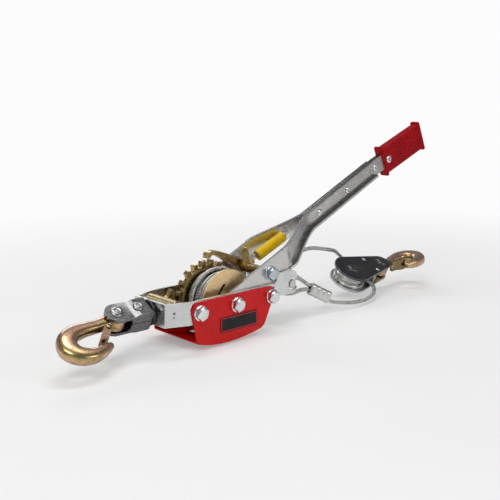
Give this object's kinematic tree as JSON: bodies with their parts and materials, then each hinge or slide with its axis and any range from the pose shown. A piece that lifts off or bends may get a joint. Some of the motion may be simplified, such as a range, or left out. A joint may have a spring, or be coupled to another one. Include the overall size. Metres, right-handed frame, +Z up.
{
  "type": "come along winch",
  "caption": "Hand lever ratchet cable puller: red-guarded drum frame, swivel latch hook in front, wire rope reeved round a pulley block with its own latch hook.",
  "frame": {"origin": "on the floor plane under the middle of the whole object: plan centre of the bounding box, at its lowest height; the drum axle centre is at x -0.0895, y -0.0012, z 0.0385", "axes": "+X from the front hook towards the pulley block along the pull line; +Y across the frame along the drum axle, away from the guard's label face; +Z up, the side the lever stands on"},
  "size_m": [0.5714, 0.089, 0.2184],
  "materials": {
    "zinc_plate": "satin zinc-plated pressed steel",
    "bright_zinc": "bright zinc-plated fasteners",
    "grey_steel": "dull dark-grey plated steel",
    "black_plate": "near-black oxidised steel plate with a worn bright edge",
    "gold_chromate": "iridescent yellow-chromate plated steel",
    "red_paint": "gloss red paint",
    "plain_label": "plain black sticker with a thin red border",
    "steel_rope": "twisted galvanised steel strand",
    "red_grip": "moulded red plastic with fine cross ribs",
    "yellow_sleeve": "yellow plastic sleeve",
    "swaged_metal": "pressed ferrule metal",
    "spring_steel": "straw-coloured coil spring wire"
  },
  "bodies": {
    "frame": {"frame": "zinc_plate", "guard": "red_paint", "label": "plain_label", "stop_pawl_bolt": "bright_zinc", "stop_pawl_nut": "bright_zinc", "drum_axle_bolt": "bright_zinc", "drum_axle_nut": "bright_zinc", "rear_cross_bolt": "bright_zinc", "rear_cross_nut": "bright_zinc", "rear_spacer_tube": "grey_steel", "cable_anchor_pin": "swaged_metal", "stop_pawl_spring": "spring_steel", "swivel_bolt": "bright_zinc", "swivel_nut": "bright_zinc", "swivel_washer": "grey_steel", "cable_run": "steel_rope", "cable_ferrule": "swaged_metal"},
    "clevis": {"clevis_upper_half": "grey_steel", "clevis_lower_half": "grey_steel", "clevis_rivet": "bright_zinc", "hook_pivot_rivet": "bright_zinc"},
    "front_hook": {"front_hook": "gold_chromate", "front_latch_pin": "bright_zinc", "front_latch_spring": "spring_steel"},
    "front_latch": {"front_latch": "gold_chromate"},
    "drum": {"drum_core": "gold_chromate", "drum_flange": "gold_chromate", "ratchet_wheel": "gold_chromate", "wound_cable": "steel_rope"},
    "stop_pawl": {"stop_pawl": "gold_chromate"},
    "lever": {"near_arm": "zinc_plate", "far_arm": "zinc_plate", "arm_rivet_1": "bright_zinc", "arm_rivet_2": "bright_zinc", "arm_rivet_3": "bright_zinc", "grip": "red_grip", "grip_rivet": "bright_zinc", "drive_pawl_bolt": "bright_zinc", "drive_pawl_nut": "bright_zinc", "spring_sleeve": "yellow_sleeve", "pawl_spring": "bright_zinc", "spring_anchor_pin": "bright_zinc"},
    "drive_pawl": {"drive_pawl": "gold_chromate"},
    "block": {"block_upper_plate": "black_plate", "block_lower_plate": "zinc_plate", "sheave_axle": "grey_steel", "block_hook_pin": "grey_steel", "keeper_pin_far": "bright_zinc", "keeper_pin_near": "bright_zinc"},
    "sheave": {"sheave": "zinc_plate"},
    "block_hook": {"block_hook": "gold_chromate", "block_latch_pin": "bright_zinc", "block_latch_spring": "spring_steel"},
    "block_latch": {"block_latch": "gold_chromate"}
  },
  "joints": [
    {"name": "lever_swing", "type": "hinge", "parent": "frame", "child": "lever", "pos_m": [-0.0895, -0.0012, 0.03846], "axis": [0, -1, 0], "range_deg": [0, 54]},
    {"name": "drum_spin", "type": "hinge", "parent": "frame", "child": "drum", "pos_m": [-0.0895, -0.0012, 0.03846], "axis": [0, -1, 0], "range_deg": [-540, 108]},
    {"name": "drive_pawl_pivot", "type": "hinge", "parent": "lever", "child": "drive_pawl", "pos_m": [-0.036, -0.0012, 0.06196], "axis": [0, -1, 0], "range_deg": [-22, 5], "deforming": ["pawl_spring"]},
    {"name": "stop_pawl_pivot", "type": "hinge", "parent": "frame", "child": "stop_pawl", "pos_m": [-0.1385, -0.0012, 0.03846], "axis": [0, -1, 0], "range_deg": [-28, 11]},
    {"name": "swivel_turn", "type": "hinge", "parent": "frame", "child": "clevis", "pos_m": [-0.174, -0.0012, 0.03846], "axis": [1, 0, 0], "continuous": true},
    {"name": "front_hook_pivot", "type": "hinge", "parent": "clevis", "child": "front_hook", "pos_m": [-0.2155, -0.0012, 0.03846], "axis": [0, -0.4695, 0.8829], "range_deg": [-80, 80]},
    {"name": "front_latch_hinge", "type": "hinge", "parent": "front_hook", "child": "front_latch", "pos_m": [-0.23, -0.01197, 0.03274], "axis": [0, 0.4695, -0.8829], "range_deg": [0, 36]},
    {"name": "block_travel", "type": "slide", "parent": "frame", "child": "block", "axis": [1, 0, 0], "range_m": [-0.03, 0.15], "deforming": ["cable_run"]},
    {"name": "sheave_spin", "type": "hinge", "parent": "block", "child": "sheave", "pos_m": [0.1395, 0.0033, 0.02746], "axis": [0, -0.454, 0.891], "range_deg": [-480, 100]},
    {"name": "block_hook_pivot", "type": "hinge", "parent": "block", "child": "block_hook", "pos_m": [0.1975, 0.0033, 0.02746], "axis": [0, -0.454, 0.891], "range_deg": [-80, 80]},
    {"name": "block_latch_hinge", "type": "hinge", "parent": "block_hook", "child": "block_latch", "pos_m": [0.21432, -0.00523, 0.02933], "axis": [-0.1175, -0.0138, 0.993], "range_deg": [0, 36]}
  ],
  "couplings": [
    {"joint": "block_travel", "follows": "drum_spin", "m_per_rad": -0.01585},
    {"joint": "sheave_spin", "follows": "drum_spin", "ratio": 0.8806}
  ]
}
